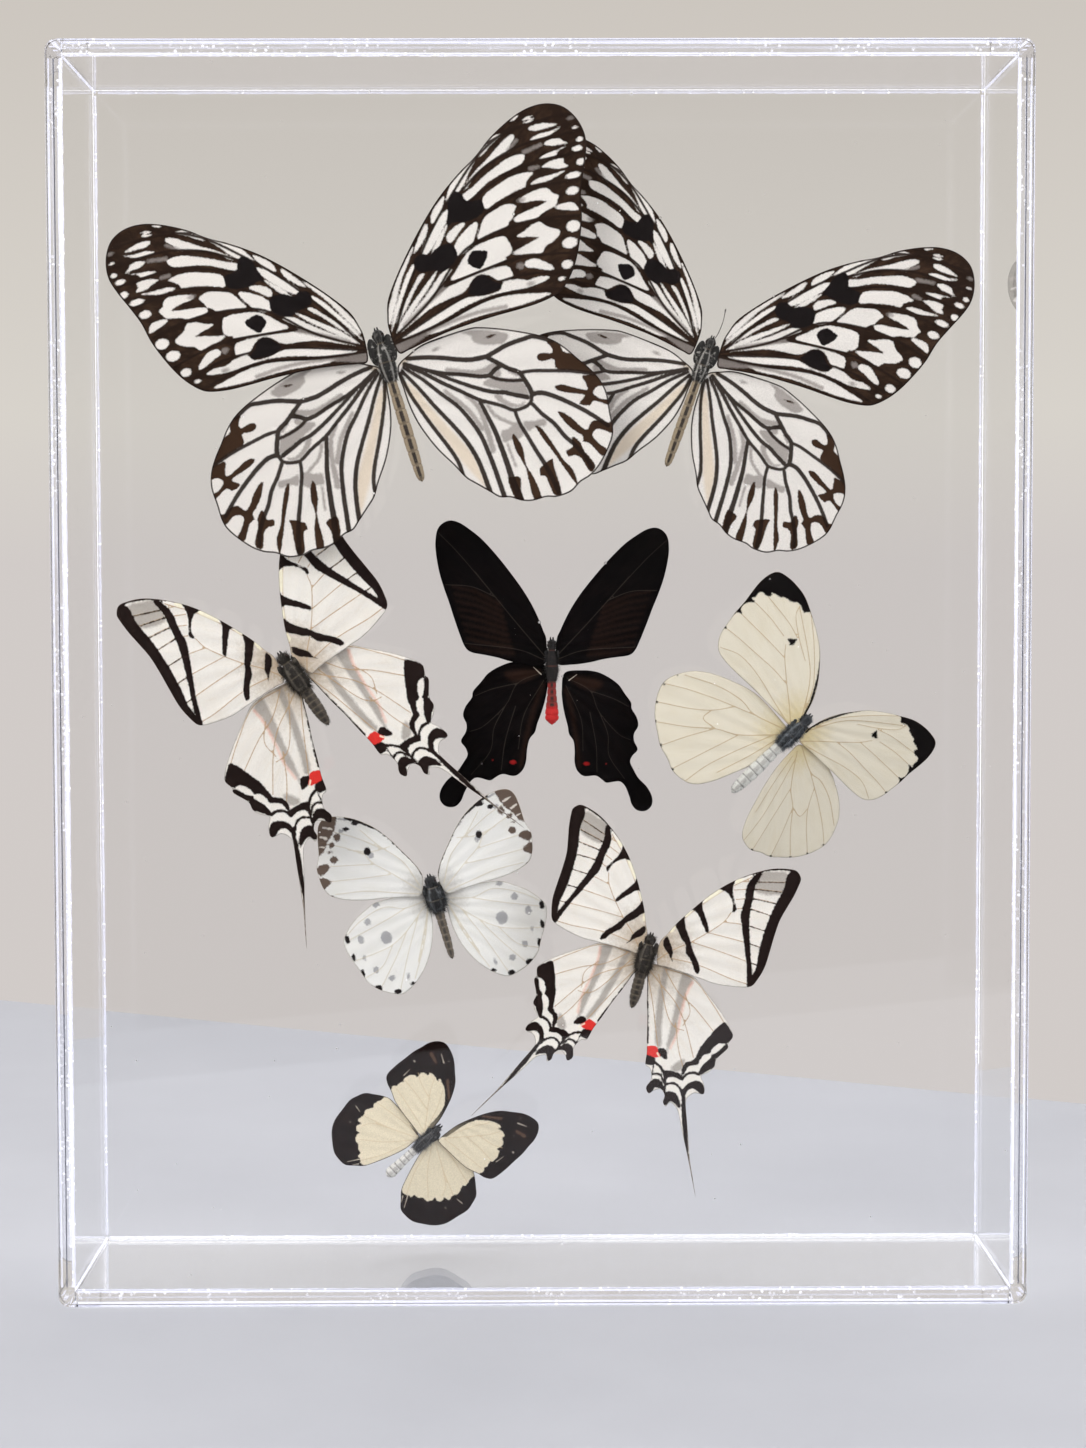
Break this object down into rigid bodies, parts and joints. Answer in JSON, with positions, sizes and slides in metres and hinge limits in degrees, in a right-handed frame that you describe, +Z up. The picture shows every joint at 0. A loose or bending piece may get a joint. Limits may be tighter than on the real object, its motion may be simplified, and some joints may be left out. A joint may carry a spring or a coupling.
{
  "type": "framed butterfly display case",
  "caption": "Clear six-sided acrylic display case with spread butterflies fixed inside at different depths; stands upright on its bottom edge.",
  "frame": {"origin": "middle of the underside of the case", "axes": "+Z up, the front panel faces -Y, +X to the right of someone looking at the front"},
  "size_m": [0.216, 0.0572, 0.2794],
  "materials": {
    "clear_acrylic": "polished clear cast sheet, cemented with small trapped bubbles along the seams",
    "kite_wing": "dry scaled membrane, off-white with dark brown veins and blotches",
    "kite_body": "hairy black and white chitin, tan abdomen",
    "swordtail_wing": "thin cream membrane with tapering dark brown bars, a red spot and long tails",
    "swordtail_body": "dark grey-brown fur",
    "black_wing": "velvety black with brown rays",
    "black_body": "black fur with a red abdomen tip",
    "white_wing": "pale cream with a black tip, spot and edge line",
    "white_body": "grey fur, white abdomen with dark joints",
    "spotted_wing": "white with brown-black tip, black and grey spots",
    "spotted_body": "dark grey fur, brown abdomen",
    "bordered_wing": "cream centre with a wide dark brown border",
    "bordered_body": "grey fur, white abdomen"
  },
  "bodies": {
    "root": {"back_panel": "clear_acrylic", "black_swallowtail_body": "black_body", "black_swallowtail_left_forewing": "black_wing", "black_swallowtail_left_hindwing": "black_wing", "black_swallowtail_post": "clear_acrylic", "black_swallowtail_right_forewing": "black_wing", "black_swallowtail_right_hindwing": "black_wing", "black_tipped_white_body": "white_body", "black_tipped_white_left_forewing": "white_wing", "black_tipped_white_left_hindwing": "white_wing", "black_tipped_white_post": "clear_acrylic", "black_tipped_white_right_forewing": "white_wing", "black_tipped_white_right_hindwing": "white_wing", "bottom_wall": "clear_acrylic", "brown_bordered_body": "bordered_body", "brown_bordered_left_forewing": "bordered_wing", "brown_bordered_left_hindwing": "bordered_wing", "brown_bordered_post": "clear_acrylic", "brown_bordered_right_forewing": "bordered_wing", "brown_bordered_right_hindwing": "bordered_wing", "far_kite_body": "kite_body", "far_kite_left_forewing": "kite_wing", "far_kite_left_hindwing": "kite_wing", "far_kite_post": "clear_acrylic", "far_kite_right_forewing": "kite_wing", "far_kite_right_hindwing": "kite_wing", "front_panel": "clear_acrylic", "left_wall": "clear_acrylic", "lower_swordtail_body": "swordtail_body", "lower_swordtail_left_forewing": "swordtail_wing", "lower_swordtail_left_hindwing": "swordtail_wing", "lower_swordtail_post": "clear_acrylic", "lower_swordtail_right_forewing": "swordtail_wing", "lower_swordtail_right_hindwing": "swordtail_wing", "near_kite_body": "kite_body", "near_kite_left_forewing": "kite_wing", "near_kite_left_hindwing": "kite_wing", "near_kite_post": "clear_acrylic", "near_kite_right_forewing": "kite_wing", "near_kite_right_hindwing": "kite_wing", "right_wall": "clear_acrylic", "spotted_white_body": "spotted_body", "spotted_white_left_forewing": "spotted_wing", "spotted_white_left_hindwing": "spotted_wing", "spotted_white_post": "clear_acrylic", "spotted_white_right_forewing": "spotted_wing", "spotted_white_right_hindwing": "spotted_wing", "top_wall": "clear_acrylic", "upper_swordtail_body": "swordtail_body", "upper_swordtail_left_forewing": "swordtail_wing", "upper_swordtail_left_hindwing": "swordtail_wing", "upper_swordtail_post": "clear_acrylic", "upper_swordtail_right_forewing": "swordtail_wing", "upper_swordtail_right_hindwing": "swordtail_wing"}
  },
  "joints": []
}
